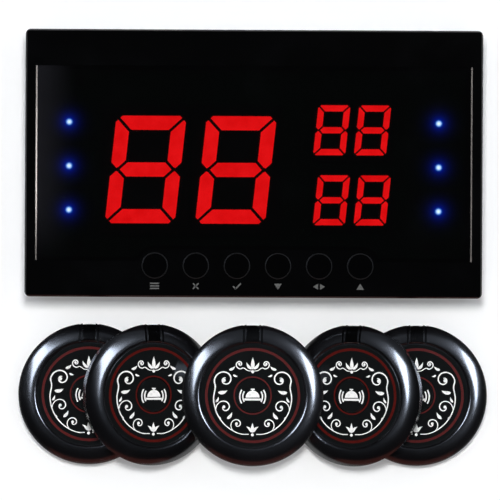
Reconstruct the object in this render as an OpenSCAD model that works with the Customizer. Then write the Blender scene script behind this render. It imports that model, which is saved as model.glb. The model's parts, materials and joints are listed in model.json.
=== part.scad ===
// Wireless call bell system: a receiver with a number display, lying on its back, and five
// round call bells fanned out in front of it. Sizes are in millimetres and +Z is up. The
// origin is on the surface that everything lies on, in the middle of the whole set.

/* [Layout] */
// Clear space between the receiver and the row of bells
row_gap = 14.4; // [5:0.2:40]
// Distance from the middle bell to the bells beside it
bell_pitch_inner = 52.6; // [48:0.2:60]
// Distance from each outer bell to the bell that leans on it
bell_pitch_outer = 34.8; // [32:0.2:44]
// Air left where one bell rests on another
rest_gap = 0.2; // [0.1:0.05:0.4]

/* [Receiver case] */
// Width of the receiver
case_w = 242; // [236:1:280]
// Height of the receiver
case_h = 141.6; // [138:0.2:180]
// Depth of the receiver from back to front
case_d = 36; // [34:0.5:50]
// Depth of the front frame
frame_d = 14; // [11:0.5:16]
// Thickness of the front frame's face
face_t = 5; // [4:0.2:6]
// Wall thickness of the front frame and the rear cover
case_wall = 2.5; // [1.6:0.1:3]
// Corner radius of the front frame
case_corner_r = 2.8; // [1:0.2:6]
// Bevel round the front frame's face
face_bevel = 0.8; // [0.3:0.1:1.5]
// How far the rear cover stands in from the front frame
cover_inset = 1; // [0.4:0.1:2]
// Bevel round the back of the rear cover
back_bevel = 5; // [3:0.5:7]
// Height of the lip that centres the rear cover in the front frame
lip_h = 2; // [1:0.5:4]
// Thickness of that lip
lip_t = 1.4; // [1:0.1:2]
// Clearance round the lip
lip_fit = 0.2; // [0.1:0.05:0.4]

/* [Window] */
// Width of the opening that holds the window and its trims
opening_w = 231.6; // [224:0.2:233]
// Height of that opening
opening_h = 103.2; // [98:0.2:108]
// Width of the ledge that the window lies on
ledge_w = 2; // [1:0.2:3]
// Thickness of the window
window_t = 2.8; // [2:0.1:3.4]
// How far the window lies below the frame's face
window_recess = 0.5; // [0.2:0.1:1]
// Clearance round the window and its trims
window_fit = 0.1; // [0.05:0.05:0.3]
// Width of each bright trim strip
trim_w = 1.2; // [0.8:0.1:2]
// How far the trim strips stand out of the window
trim_proud = 0.5; // [0.2:0.1:1]

/* [Keys] */
// Diameter of each key
key_d = 14; // [11:0.5:15]
// Distance between neighbouring keys
key_pitch = 21.75; // [19.5:0.25:24]
// How far the row of keys lies to the right of the middle
key_row_x = 2.2; // [-10:0.2:10]
// Height of the key row above the frame's lower edge
key_row_rise = 16.7; // [14:0.1:20]
// Travel of a key
key_travel = 0.8; // [0.3:0.1:1.2]
// How far a key stands out of the frame
key_proud = 0.5; // [0.2:0.1:1]
// Clearance round a key
key_fit = 0.2; // [0.1:0.05:0.4]
// Width of the flange that keeps a key in the frame
key_flange_w = 1.4; // [0.8:0.1:2]
// Thickness of that flange
key_flange_t = 1.2; // [0.8:0.1:2]
// Diameter of a key's stem
key_stem_d = 3.4; // [2.5:0.1:4.5]
// Rim of the frame left round the key holes
key_bay_rim = 1.4; // [0.8:0.1:3]
// Width of a key switch
key_switch_w = 7.4; // [6.5:0.1:10]
// Height of a key switch
key_switch_h = 5; // [3.5:0.1:7]

/* [Digits] */
// Slant of all digits, in degrees
digit_slant = 6; // [0:1:10]
// Height of a large digit
main_digit_h = 57; // [50:0.5:60]
// Width of a large digit
main_digit_w = 37.1; // [32:0.1:38]
// Stroke of a large digit
main_digit_stroke = 7.5; // [5:0.1:9]
// Gap between the segments of a large digit
main_digit_gap = 1.5; // [0.8:0.1:2]
// Distance between the large digits
main_digit_pitch = 47.8; // [45:0.2:52]
// Middle of the large digits, left or right of the case middle
main_digits_x = -33.4; // [-36:0.2:-31]
// Middle of the large digits, above or below the case middle
main_digits_y = -3.3; // [-6:0.1:6]
// Height of a small digit
sub_digit_h = 26.5; // [22:0.5:28]
// Width of a small digit
sub_digit_w = 17; // [14:0.1:18]
// Stroke of a small digit
sub_digit_stroke = 3.3; // [2.5:0.1:4.5]
// Gap between the segments of a small digit
sub_digit_gap = 0.8; // [0.5:0.1:1.2]
// Distance between neighbouring small digits
sub_digit_pitch = 21.6; // [20.5:0.1:24]
// Middle of the small digits, right of the case middle
sub_digits_x = 52; // [46:0.2:56]
// Height of the upper pair's middle above the case middle
sub_upper_y = 18; // [16:0.2:22]
// Depth of the lower pair's middle below the case middle
sub_lower_y = 19.1; // [16:0.2:22]
// Thickness of a digit housing
digit_block_d = 12; // [7:0.5:14]
// Rim of a digit housing above and below its digit
digit_rim = 3; // [2:0.5:5]
// How far the lit segments stand out of their housing
segment_t = 0.4; // [0.2:0.1:0.6]
// Air between the segments and the window
digit_air = 0.7; // [0.3:0.1:1.5]
// Step round the face of a digit housing
digit_step = 0.6; // [0.3:0.1:1]

/* [Status lamps] */
// Diameter of a lamp
lamp_d = 5; // [3:0.5:6]
// Diameter of the spacer under each lamp
lamp_spacer_d = 7; // [6:0.5:8]
// Distance between the left and right columns of lamps
lamp_spread = 195.8; // [186:0.2:200]
// Distance between lamps in a column
lamp_pitch = 23.3; // [18:0.1:26]
// Depth of the middle lamps below the case middle
lamp_drop = 1.5; // [-5:0.1:5]
// Height of the spacer under each lamp
lamp_spacer_h = 5; // [2:0.5:6]

/* [Receiver inside] */
// Thickness of the main board
board_t = 1.6; // [1:0.1:2]
// Clearance from the main board to the case walls
board_margin = 5; // [3:0.5:8]
// Distance of the case screws from the case's edges
boss_inset = 14; // [12.5:0.5:17]
// Diameter of the screw bosses in the front frame
boss_d = 8; // [6.5:0.5:9]
// Height of the screw posts in the rear cover
post_h = 8; // [6.5:0.5:10]
// Distance of the board posts from the case's left and right edges
board_post_inset_x = 28; // [25:0.5:31]
// Distance of the board posts from the case's top and bottom edges
board_post_inset_y = 27; // [25:0.5:29]
// Diameter of the board posts
board_post_d = 6.4; // [5:0.2:8]
// Shank diameter of the case and board screws
screw_d = 2.8; // [2:0.1:3]
// Head diameter of those screws
screw_head_d = 5.4; // [4.5:0.1:6]
// Head height of those screws
screw_head_h = 2; // [1.2:0.1:2.5]
// Length of those screws below the head
screw_l = 10; // [7:0.5:11]
// Clearance round screws
screw_fit = 0.1; // [0.05:0.05:0.3]
// Diameter of the speaker
speaker_d = 40; // [28:1:44]
// Height of the speaker
speaker_h = 7; // [4:0.5:8]
// Diameter of the speaker's magnet
speaker_magnet_d = 18; // [14:1:22]
// Diameter of the dust cap in the speaker's cone
speaker_cap_d = 12; // [8:1:14]
// Depth of the speaker's cone
speaker_cone_h = 2.4; // [1.2:0.1:2.6]
// Width of the speaker's mounting edge
speaker_edge_w = 2; // [1:0.2:3]
// Speaker's middle, left or right of the case middle
speaker_x = -38; // [-42:1:-34]
// Speaker's middle, above or below the case middle
speaker_y = 12; // [6:1:18]
// Width of the grille and vent slots
slot_w = 2.2; // [1.5:0.1:3]
// Distance between the slots
slot_pitch = 4.8; // [4:0.1:7]
// Length of a vent slot
vent_l = 13.2; // [8:0.2:15]
// Number of vent slots in a row
vent_count = 5; // [3:1:7]
// Distance between the two rows of vent slots
vent_row_pitch = 17.6; // [17.6:0.2:24]
// Width of the recess for the rating plate
plate_w = 64; // [40:1:80]
// Height of that recess
plate_h = 28; // [18:1:32]
// Depth of that recess
plate_depth = 0.4; // [0.2:0.1:0.6]
// Depth of its middle below the case middle
plate_drop = 36; // [34:0.5:42]
// Distance between the two hanging keyholes
keyhole_spacing = 150; // [130:1:164]
// Height of the keyholes above the case middle
keyhole_y = 30; // [22:0.5:32]
// Diameter of a keyhole where the screw head goes in
keyhole_d = 8.4; // [7:0.1:10]
// Width of a keyhole's slot
keyhole_slot_w = 4.4; // [3:0.1:5]
// Length of a keyhole's slot
keyhole_slot_l = 9; // [7:0.5:10]
// Outer diameter of the power jack's nose
jack_nose_d = 8; // [7.6:0.1:9]
// Bore of the power jack
jack_bore_d = 6.3; // [5.5:0.1:6.6]
// Depth of that bore
jack_bore_l = 9.5; // [8:0.5:12]
// Diameter of the jack's centre pin
jack_pin_d = 2; // [1.5:0.1:2.5]
// Width of the jack's body
jack_w = 9; // [8.5:0.1:11]
// Height of the jack's body
jack_h = 11; // [9.5:0.1:11.5]
// Length of the jack's body
jack_l = 14; // [10:0.5:15]
// Depth of the jack below the case middle
jack_drop = 22; // [10:0.5:26]
// Width of the radio module
radio_w = 44; // [30:1:50]
// Height of the radio module
radio_h = 16; // [14:0.5:20]
// Thickness of the radio module's plate
radio_t = 1.2; // [0.8:0.1:1.6]
// Width of the module's shield can
radio_can_w = 20; // [14:0.5:26]
// Height of the module's shield can
radio_can_h = 12; // [8:0.5:13]
// Thickness of the module's shield can
radio_can_t = 2.4; // [1.6:0.1:3]
// Radio module's middle, left of the case middle
radio_x = 60; // [56:1:64]
// Radio module's middle, below the case middle
radio_drop = 30; // [26:1:34]
// Diameter of the rod aerial
aerial_d = 3; // [2:0.1:4]
// Length of the rod aerial
aerial_l = 60; // [40:1:80]
// Length of the rubber feet
foot_l = 16; // [8:1:24]
// Width of the rubber feet
foot_w = 8; // [5:0.5:9]

/* [Bell shell] */
// Diameter of a bell
bell_d = 75.2; // [72:0.2:80]
// Height of a bell
bell_h = 12.6; // [12.2:0.1:14]
// Diameter of the rim's highest line
rim_crest_d = 58.4; // [57.6:0.2:61]
// Radius of the rim's outer slope
rim_roll_r = 11.5; // [10.8:0.1:12]
// Tilt of the rim's rounded inner edge where it meets the groove, in degrees
rim_inner_tilt = 70; // [50:1:80]
// How far the foot stands in from the widest part
foot_inset = 1.6; // [0.8:0.1:2.5]
// Wall thickness of the housing
shell_t = 1.8; // [1.2:0.1:2.2]
// Diameter inside the rolled rim
rim_inner_d = 55.6; // [52:0.2:57]
// Depth of the label below the rim
label_recess = 1.4; // [1.2:0.1:1.6]
// Width of the groove round the label
label_gap = 0.7; // [0.3:0.1:1.2]
// Thickness of the label
label_t = 0.4; // [0.2:0.1:0.5]
// Thickness of the deck under the label
deck_t = 1.4; // [1:0.1:1.6]
// Clearance round the base
bell_fit = 0.15; // [0.05:0.05:0.3]
// Thickness of the base
base_t = 1.8; // [1.6:0.1:2]
// Diameter of the recess for the adhesive pad under the base
pad_d = 36; // [20:1:42]
// Depth of that recess
pad_depth = 0.4; // [0.2:0.1:0.6]
// Radius of the notch in its edge for peeling the pad off
pad_notch_r = 4; // [2:0.2:5]

/* [Bell lamp] */
// Width of the lamp channel across the rim, over its two grooves
channel_w = 10.6; // [10.4:0.2:12]
// Width of the groove at each side of that channel
channel_groove_w = 1; // [0.6:0.1:1.2]
// Depth of those grooves
channel_depth = 0.5; // [0.2:0.05:0.6]
// Width of the lamp lens between the two grooves
lens_w = 6.8; // [6:0.2:7.2]
// Depth of the lens below the rim
lens_depth = 0.4; // [0.3:0.05:0.8]
// Thickness of the lens
lens_t = 1.6; // [1:0.1:2]
// Distance of the lens from the inside of the rim
lens_inset = 0.6; // [0.4:0.1:1.4]
// How far the lens runs down the bell's side
lens_side_h = 3; // [2:0.2:4]
// Clearance at the sides of the lens
lens_fit = 0.1; // [0.05:0.05:0.2]
// Size of the lamp under the lens
bell_lamp_w = 3; // [2:0.2:4]

/* [Bell inside] */
// Diameter of the call button
button_d = 18; // [15:0.5:20]
// Clearance round the call button
button_fit = 0.25; // [0.15:0.05:0.4]
// How far the call button stands out of the label
button_proud = 0.4; // [0.2:0.1:0.8]
// Travel of the call button
button_travel = 0.5; // [0.3:0.1:0.6]
// Width of the flange that keeps the button in the housing
button_flange_w = 1.6; // [1:0.1:2.5]
// Thickness of that flange
button_flange_t = 1; // [0.7:0.1:1.1]
// Diameter of the button's stem
button_stem_d = 3; // [2:0.1:3.5]
// Width of the switch under the button
bell_switch_w = 6.2; // [5.5:0.1:8]
// Diameter of the coin cell
cell_d = 20; // [16:0.5:24]
// Thickness of the coin cell
cell_t = 3.2; // [2.5:0.1:3.3]
// Clearance round the coin cell
cell_fit = 0.25; // [0.1:0.05:0.5]
// Wall of the well that holds the coin cell
well_t = 1.2; // [0.8:0.1:2]
// Height of that wall above the base
well_h = 2.2; // [1.5:0.1:2.4]
// How far the coin cell's cap stands in from its can
cell_cap_inset = 1.2; // [0.6:0.1:2]
// Height of that cap
cell_cap_h = 0.4; // [0.2:0.1:0.6]
// Air between the coin cell and the board
cell_air = 0.4; // [0.2:0.1:0.6]
// Thickness of the bell board
bell_board_t = 1; // [0.8:0.1:1.2]
// Clearance from the bell board to the shell
bell_board_margin = 2.2; // [1:0.1:3]
// Distance of the bell screws and board posts from the middle
bell_boss_r = 25; // [20:0.5:26]
// Diameter of the bell screw bosses
bell_boss_d = 4.6; // [4:0.2:5.2]
// Shank diameter of a bell screw
bell_screw_d = 1.8; // [1.4:0.1:2]
// Head diameter of a bell screw
bell_screw_head_d = 3.8; // [3.2:0.1:4]
// Head height of a bell screw
bell_screw_head_h = 0.9; // [0.7:0.1:1]
// Length of a bell screw below the head
bell_screw_l = 5; // [4:0.5:5.5]

/* [Hidden] */
$fn = 64;
// Small overlap that makes cuts go clean through
over = 1;
// Air under a pressed stem or flange
press_air = 0.2;
// Air above a flange at rest
flange_air = 0.1;
KEYS = 6;
BELLS = 5;
// Drive recess of a screw, as shares of the head's diameter and height
drive_l_share = 0.62;
drive_w_share = 0.16;
drive_depth_share = 0.5;
// Corner cut and side notch of a digit, as shares of its stroke
digit_cut_share = 0.45;
digit_notch_share = 0.5;
// Steepest lean of a bell, in degrees, and the number of times the search halves it
lean_most = 45;
lean_halvings = 40;

// Layout
layout_d = case_h + row_gap + bell_d;
receiver_y = (layout_d - case_h) / 2;
bells_y = (bell_d - layout_d) / 2;

// Levels of the receiver, from the back up
parting_z = case_d - frame_d;
face_z = case_d - face_t;
window_top_z = case_d - window_recess;
window_z = window_top_z - window_t;
block_top_z = window_z - digit_air - segment_t;
board_top_z = block_top_z - digit_block_d;
board_z = board_top_z - board_t;
jack_z = board_z - jack_h / 2;

// Receiver outlines
cover_w = case_w - 2 * cover_inset;
cover_h = case_h - 2 * cover_inset;
inner_corner_r = max(case_corner_r - case_wall, 0.5);
board_w = cover_w - 2 * case_wall - 2 * board_margin;
board_h = cover_h - 2 * case_wall - 2 * board_margin;
boss_x = case_w / 2 - boss_inset;
boss_y = case_h / 2 - boss_inset;
board_post_x = case_w / 2 - board_post_inset_x;
board_post_y = case_h / 2 - board_post_inset_y;
trim_x = opening_w / 2 - window_fit - trim_w / 2;
window_w = opening_w - 2 * trim_w - 4 * window_fit;
window_h = opening_h - 2 * window_fit;
key_hole_d = key_d + 2 * key_fit;
key_bay_d = key_hole_d + 2 * key_bay_rim;
key_row_y = key_row_rise - case_h / 2;

// Levels of a bell, from its foot up
label_z = bell_h - label_recess;
deck_z = label_z - label_t;
deck_under_z = deck_z - deck_t;
button_flange_z = deck_under_z - flange_air - button_flange_t;
bell_board_z = base_t + cell_t + cell_air;
bell_board_top_z = bell_board_z + bell_board_t;
bell_switch_h = button_flange_z - button_travel - press_air - bell_board_top_z;

// Bell radii
bell_r = bell_d / 2;
foot_r = bell_r - foot_inset;
rim_inner_r = rim_inner_d / 2;
rim_mid_r = rim_crest_d / 2;
rim_mid_z = bell_h - rim_roll_r;
rim_inner_roll_r = (rim_mid_r - rim_inner_r) / sin(rim_inner_tilt);
rim_inner_mid_z = bell_h - rim_inner_roll_r;
rim_edge_z = rim_mid_z + sqrt(pow(rim_roll_r, 2) - pow(bell_r - rim_mid_r, 2));
button_hole_d = button_d + 2 * button_fit;
bell_board_r = foot_r - shell_t - bell_board_margin;
lens_start_r = rim_inner_r + lens_inset;
lens_low_z = rim_edge_z - lens_side_h;

// Lean of bells 2 and 4: the underside touches the outer bell's rolled rim while the inner
// edge of the foot stands on the surface. The reach is how far the underside clears the rim.
function reach(a) =
    let (edge_x = bell_pitch_outer - label_z * sin(a) + foot_r * cos(a))
    (edge_x - rim_mid_r) * sin(a) - rim_mid_z * cos(a) - rim_roll_r - rest_gap;
function halve(low, high, steps) =
    let (mid = (low + high) / 2)
    steps == 0 ? mid : reach(mid) < 0 ? halve(mid, high, steps - 1) : halve(low, mid, steps - 1);
lean = halve(0, lean_most, lean_halvings);

// Height of the middle bell, whose foot edge rests on the labels of bells 2 and 4
foot_overlap = bell_pitch_inner - foot_r + label_z * sin(lean);
middle_z = foot_r * sin(lean) + (label_z + rest_gap - foot_overlap * sin(lean)) / cos(lean);

RECEIVER_NODES = [
    "front_frame", "window", "window_trims", "rear_cover", "main_board",
    "main_digit_blocks", "main_digit_segments", "sub_digit_blocks", "sub_digit_segments",
    "status_leds", "key_switches", "speaker", "power_jack", "radio_module",
    "case_screws", "board_screws", "rubber_feet"
];
KEY_NODES = [for (k = [1 : KEYS]) str("key_", k)];
BELL_PIECES = ["housing", "base", "label", "button", "lens", "board", "battery"];
BELL_NODES = [for (b = [1 : BELLS]) for (piece = BELL_PIECES) str("bell_", b, "_", piece)];

// Shared shapes

module round_rect(w, h, r) {
    square([w - 2 * r, h], center = true);
    square([w, h - 2 * r], center = true);
    for (x = [-1, 1], y = [-1, 1])
        translate([x * (w / 2 - r), y * (h / 2 - r)]) circle(r);
}

// Side view of a slab whose top edges are cut at 45 degrees
module bevel_profile(w, t, bevel) {
    polygon([
        [-w / 2 - over, -over], [w / 2 + over, -over],
        [w / 2 + over, t - bevel - over], [w / 2 - bevel - over, t + over],
        [bevel + over - w / 2, t + over], [-w / 2 - over, t - bevel - over]
    ]);
}

module beveled_slab(w, h, r, t, bevel) {
    intersection() {
        linear_extrude(t) round_rect(w, h, r);
        rotate([90, 0, 0]) linear_extrude(h + 2 * over, center = true) bevel_profile(w, t, bevel);
        rotate([90, 0, 90]) linear_extrude(w + 2 * over, center = true) bevel_profile(h, t, bevel);
    }
}

// Screw that points up, with a cross recess in the underside of its head
module pan_screw(d, l, head_d, head_h) {
    drive_l = drive_l_share * head_d;
    drive_w = drive_w_share * head_d;
    drive_depth = drive_depth_share * head_h;
    cylinder(d = d, h = l);
    translate([0, 0, -head_h]) difference() {
        cylinder(d = head_d, h = head_h);
        for (a = [0, 90])
            rotate(a) cube([drive_l, drive_w, 2 * drive_depth], center = true);
    }
}

module at_receiver() {
    translate([0, receiver_y, 0]) children();
}

module at_corners(x, y) {
    for (sx = [-1, 1], sy = [-1, 1])
        translate([sx * x, sy * y, 0]) children();
}

module at_key(k) {
    translate([key_row_x + (k - (KEYS + 1) / 2) * key_pitch, key_row_y, 0]) children();
}

// Bells 1 to 5 from left to right; bells 2 and 4 lean, and bell 3 lies across them
module at_bell(b) {
    side = sign(b - (BELLS + 1) / 2);
    leaning = b == 2 || b == 4;
    outer = b == 1 || b == BELLS;
    tilt = leaning ? -side * lean : 0;
    x = outer ? bell_pitch_inner + bell_pitch_outer
        : leaning ? bell_pitch_inner + label_z * sin(lean) : 0;
    z = outer ? 0 : leaning ? foot_r * sin(lean) : middle_z;
    translate([side * x, bells_y, z]) rotate([0, tilt, 0]) children();
}

// Screw bosses stand at 30, 150 and 270 degrees, and board posts opposite them
module at_bell_bosses() {
    for (a = [30, 150, 270])
        rotate(a) translate([bell_boss_r, 0, 0]) children();
}

module at_bell_posts() {
    for (a = [90, 210, 330])
        rotate(a) translate([bell_boss_r, 0, 0]) children();
}

// Receiver

// Pill-shaped part of the face that carries the key holes
module key_bay(grow) {
    translate([key_row_x, key_row_y]) {
        square([(KEYS - 1) * key_pitch, key_bay_d + 2 * grow], center = true);
        for (s = [-1, 1])
            translate([s * (KEYS - 1) / 2 * key_pitch, 0]) circle(d = key_bay_d + 2 * grow);
    }
}

module opening_outline(inset) {
    difference() {
        square([opening_w - 2 * inset, opening_h - 2 * inset], center = true);
        key_bay(inset);
    }
}

module front_frame() {
    color([0.03, 0.03, 0.03]) difference() {
        union() {
            difference() {
                translate([0, 0, parting_z])
                    beveled_slab(case_w, case_h, case_corner_r, frame_d, face_bevel);
                translate([0, 0, parting_z - over])
                    linear_extrude(frame_d - face_t + over)
                        round_rect(case_w - 2 * case_wall, case_h - 2 * case_wall, inner_corner_r);
            }
            at_corners(boss_x, boss_y)
                translate([0, 0, post_h]) cylinder(d = boss_d, h = face_z - post_h + face_t / 2);
        }
        translate([0, 0, face_z - over]) linear_extrude(face_t + 2 * over) opening_outline(ledge_w);
        translate([0, 0, window_z]) linear_extrude(face_t) opening_outline(0);
        for (k = [1 : KEYS])
            at_key(k) translate([0, 0, face_z - over]) cylinder(d = key_hole_d, h = face_t + 2 * over);
        at_corners(boss_x, boss_y)
            translate([0, 0, post_h - over]) cylinder(d = screw_d + 2 * screw_fit, h = screw_l + over);
    }
}

module window() {
    color([0.06, 0.06, 0.07, 0.6]) translate([0, 0, window_z]) linear_extrude(window_t)
        difference() {
            square([window_w, window_h], center = true);
            key_bay(window_fit);
        }
}

module window_trims() {
    trim_h = window_t + trim_proud;
    color("silver") for (s = [-1, 1])
        translate([s * trim_x, 0, window_z]) rotate([90, 0, 0])
            linear_extrude(window_h, center = true) {
                translate([-trim_w / 2, 0]) square([trim_w, trim_h - trim_w / 2]);
                translate([0, trim_h - trim_w / 2]) circle(d = trim_w);
            }
}

module keyhole() {
    cylinder(d = keyhole_d, h = case_wall + 2 * over);
    translate([-keyhole_slot_w / 2, 0, 0])
        cube([keyhole_slot_w, keyhole_slot_l, case_wall + 2 * over]);
    translate([0, keyhole_slot_l, 0]) cylinder(d = keyhole_slot_w, h = case_wall + 2 * over);
}

// Slots side by side, as long as a round grille of diameter d lets them be
module grille(d) {
    count = floor((d / 2 - slot_pitch / 2) / slot_pitch);
    for (i = [-count : count])
        let (half = sqrt(pow(d / 2 - slot_w, 2) - pow(i * slot_pitch, 2)))
            translate([i * slot_pitch - slot_w / 2, -half, 0])
                cube([slot_w, 2 * half, case_wall + 2 * over]);
}

module rear_cover() {
    hollow_h = parting_z - case_wall + over;
    inner_bevel = back_bevel - (2 - sqrt(2)) * case_wall;
    lip_w = case_w - 2 * case_wall - 2 * lip_fit;
    lip_tall = case_h - 2 * case_wall - 2 * lip_fit;
    color([0.05, 0.05, 0.05]) difference() {
        union() {
            difference() {
                translate([0, 0, parting_z]) mirror([0, 0, 1])
                    beveled_slab(cover_w, cover_h, case_corner_r, parting_z, back_bevel);
                translate([0, 0, parting_z + over]) mirror([0, 0, 1])
                    beveled_slab(cover_w - 2 * case_wall, cover_h - 2 * case_wall,
                        inner_corner_r, hollow_h, inner_bevel);
            }
            translate([0, 0, parting_z - lip_h]) linear_extrude(2 * lip_h) difference() {
                square([lip_w, lip_tall], center = true);
                square([lip_w - 2 * lip_t, lip_tall - 2 * lip_t], center = true);
            }
            at_corners(boss_x, boss_y)
                translate([0, 0, case_wall / 2]) cylinder(d = boss_d, h = post_h - case_wall / 2);
            at_corners(board_post_x, board_post_y)
                translate([0, 0, case_wall / 2]) cylinder(d = board_post_d, h = board_z - case_wall / 2);
            translate([speaker_x, speaker_y, case_wall / 2]) difference() {
                cylinder(d = speaker_d + 2 * lip_t + 2 * lip_fit, h = case_wall / 2 + speaker_h / 2);
                cylinder(d = speaker_d + 2 * lip_fit, h = case_wall + speaker_h);
            }
        }
        at_corners(boss_x, boss_y) {
            translate([0, 0, -over]) cylinder(d = screw_d + 2 * screw_fit, h = post_h + 2 * over);
            translate([0, 0, -over])
                cylinder(d = screw_head_d + 4 * screw_fit, h = post_h - case_wall + over);
        }
        at_corners(board_post_x, board_post_y)
            translate([0, 0, board_z + board_t - screw_l - over])
                cylinder(d = screw_d + 2 * screw_fit, h = screw_l + over);
        for (s = [-1, 1])
            translate([s * keyhole_spacing / 2, keyhole_y, -over]) keyhole();
        translate([speaker_x, speaker_y, -over]) grille(speaker_d - 2 * slot_pitch);
        for (s = [-1, 1], i = [1 - vent_count : 2 : vent_count - 1])
            translate([-speaker_x + i * slot_pitch / 2, speaker_y + s * vent_row_pitch / 2, -over])
                translate([-slot_w / 2, -vent_l / 2, 0]) cube([slot_w, vent_l, case_wall + 2 * over]);
        translate([0, -plate_drop, plate_depth - over]) linear_extrude(over)
            round_rect(plate_w, plate_h, case_corner_r);
        translate([cover_w / 2 - case_wall - over, -jack_drop, jack_z]) rotate([0, 90, 0])
            cylinder(d = jack_nose_d + 2 * lip_fit, h = case_wall + 2 * over);
    }
}

module main_board() {
    notch = boss_d + 2 * lip_fit;
    color("darkgreen") translate([0, 0, board_z]) difference() {
        translate([-board_w / 2, -board_h / 2, 0]) cube([board_w, board_h, board_t]);
        for (sx = [-1, 1], sy = [-1, 1])
            translate([sx * (boss_x - notch / 2 + board_w / 2), sy * (boss_y - notch / 2 + board_h / 2), 0])
                cube([board_w, board_h, 3 * board_t], center = true);
        at_corners(board_post_x, board_post_y)
            translate([0, 0, -over]) cylinder(d = screw_d + 2 * screw_fit, h = board_t + 2 * over);
    }
}

function slant(points) = [for (p = points) [p[0] + p[1] * tan(digit_slant), p[1]]];

// Corners of a straight strip of width w from p to q
function strip(p, q, w) =
    let (d = (q - p) / norm(q - p), n = [-d[1], d[0]] * w / 2)
    [p + n, p - n, q - n, q + n];

// Seven segments: an outline with cut corners, two openings, and mitred gaps between segments
module digit(w, h, stroke, gap) {
    cut = digit_cut_share * stroke;
    notch = digit_notch_share * stroke;
    x = w / 2;
    y = h / 2;
    difference() {
        polygon(slant([
            [cut - x, -y], [x - cut, -y], [x, cut - y], [x, y - cut],
            [x - cut, y], [cut - x, y], [-x, y - cut], [-x, cut - y]
        ]));
        for (s = [-1, 1]) {
            polygon(slant([
                [stroke - x, s * stroke / 2], [x - stroke, s * stroke / 2],
                [x - stroke, s * (y - stroke)], [stroke - x, s * (y - stroke)]
            ]));
            polygon(slant([
                [s * (x - notch), 0], [s * x, notch], [s * (x + notch), 0], [s * x, -notch]
            ]));
            for (v = [-1, 1]) {
                corner = [s * x, v * y];
                tip = [s * (x - notch), 0];
                polygon(slant(strip(corner, corner - 1.5 * stroke * [s, v], gap)));
                polygon(slant(strip(tip - 0.1 * stroke * [-s, v], tip + 0.9 * stroke * [-s, v], gap)));
            }
        }
    }
}

module at_main_digits() {
    for (s = [-0.5, 0.5])
        translate([main_digits_x + s * main_digit_pitch, main_digits_y, 0]) children();
}

module at_sub_digits() {
    for (s = [-0.5, 0.5], y = [sub_upper_y, -sub_lower_y])
        translate([sub_digits_x + s * sub_digit_pitch, y, 0]) children();
}

// Digit housing with a small step round its face
module digit_block(w, h) {
    translate([-w / 2, -h / 2, board_top_z]) cube([w, h, digit_block_d - digit_step]);
    translate([digit_step - w / 2, digit_step - h / 2, board_top_z])
        cube([w - 2 * digit_step, h - 2 * digit_step, digit_block_d]);
}

module main_digit_blocks() {
    color([0.04, 0.04, 0.04]) at_main_digits()
        digit_block(main_digit_pitch - 2 * lip_fit, main_digit_h + 4 * digit_rim);
}

module sub_digit_blocks() {
    color([0.04, 0.04, 0.04]) at_sub_digits()
        digit_block(sub_digit_pitch - 2 * lip_fit, sub_digit_h + 2 * digit_rim);
}

module main_digit_segments() {
    color("red") at_main_digits() translate([0, 0, block_top_z]) linear_extrude(segment_t)
        digit(main_digit_w, main_digit_h, main_digit_stroke, main_digit_gap);
}

module sub_digit_segments() {
    color("red") at_sub_digits() translate([0, 0, block_top_z]) linear_extrude(segment_t)
        digit(sub_digit_w, sub_digit_h, sub_digit_stroke, sub_digit_gap);
}

// Each lamp is a round-nosed body with a collar, on a spacer that lifts it to the window
module status_leds() {
    lamp_top_z = window_z - digit_air;
    body_h = lamp_top_z - board_top_z - lamp_d / 2;
    color("deepskyblue") for (s = [-1, 1], i = [-1 : 1])
        translate([s * lamp_spread / 2, i * lamp_pitch - lamp_drop, board_top_z]) rotate_extrude() {
            square([lamp_d / 2, body_h]);
            square([lamp_spacer_d / 2, lamp_spacer_h]);
            translate([0, body_h]) intersection() {
                circle(d = lamp_d);
                square(lamp_d);
            }
        }
}

module key(k) {
    flange_z = face_z - flange_air - key_flange_t;
    stem_z = board_top_z + press_air + key_travel;
    top_z = case_d + key_proud;
    edge = key_proud;
    r = key_d / 2;
    color([0.02, 0.02, 0.02]) at_key(k) rotate_extrude() polygon([
        [0, stem_z], [key_stem_d / 2, stem_z], [key_stem_d / 2, flange_z],
        [r + key_flange_w, flange_z], [r + key_flange_w, flange_z + key_flange_t],
        [r, flange_z + key_flange_t], [r, top_z - edge], [r - edge, top_z], [0, top_z]
    ]);
}

module key_switches() {
    color([0.1, 0.1, 0.1]) for (k = [1 : KEYS])
        at_key(k) difference() {
            translate([-key_switch_w / 2, -key_switch_w / 2, board_top_z])
                cube([key_switch_w, key_switch_w, key_switch_h]);
            translate([0, 0, board_top_z - over])
                cylinder(d = key_stem_d + 2 * key_fit, h = key_switch_h + 2 * over);
        }
}

// Speaker with its cone dished towards the grille and its magnet on the other side
module speaker() {
    r = speaker_d / 2;
    magnet_r = speaker_magnet_d / 2;
    cap_r = speaker_cap_d / 2;
    basket_h = (speaker_cone_h + speaker_h) / 2;
    color([0.15, 0.15, 0.15]) translate([speaker_x, speaker_y, case_wall]) rotate_extrude() polygon([
        [0, speaker_cone_h / 2], [cap_r, speaker_cone_h],
        [r - 2 * speaker_edge_w, speaker_edge_w / 4], [r - speaker_edge_w, 0], [r, 0],
        [r, speaker_cone_h / 2], [magnet_r + speaker_edge_w, basket_h], [magnet_r, basket_h],
        [magnet_r, speaker_h], [0, speaker_h]
    ]);
}

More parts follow.
